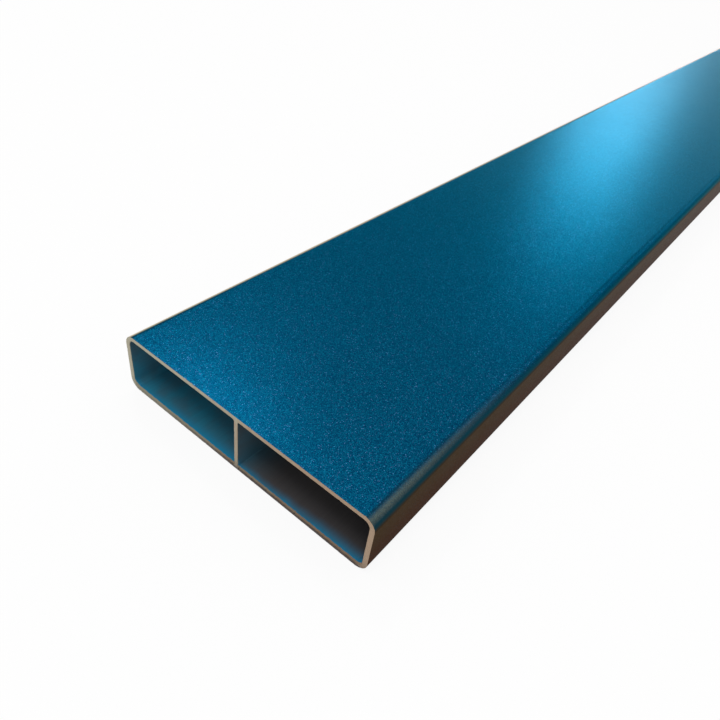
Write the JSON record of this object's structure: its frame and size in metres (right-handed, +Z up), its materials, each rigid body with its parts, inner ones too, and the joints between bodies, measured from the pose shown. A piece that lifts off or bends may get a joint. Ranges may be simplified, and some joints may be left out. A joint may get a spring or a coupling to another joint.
{
  "type": "aluminium extrusion profile",
  "caption": "Flat rectangular aluminium box profile with rounded long edges and a centre web between hollow chambers, sawn square to a stock length.",
  "frame": {"origin": "centre of the underside, halfway along the length", "axes": "+X across the broad faces, +Y along the stock away from the sawn end that the picture shows, +Z up out of the upper broad face"},
  "size_m": [0.09, 1, 0.02],
  "materials": {
    "finished_aluminium": "satin blue on the broad faces and in the chambers, dark brown on the narrow sides, bare metal on the sawn ends"
  },
  "bodies": {
    "root": {"profile": "finished_aluminium"}
  },
  "joints": []
}
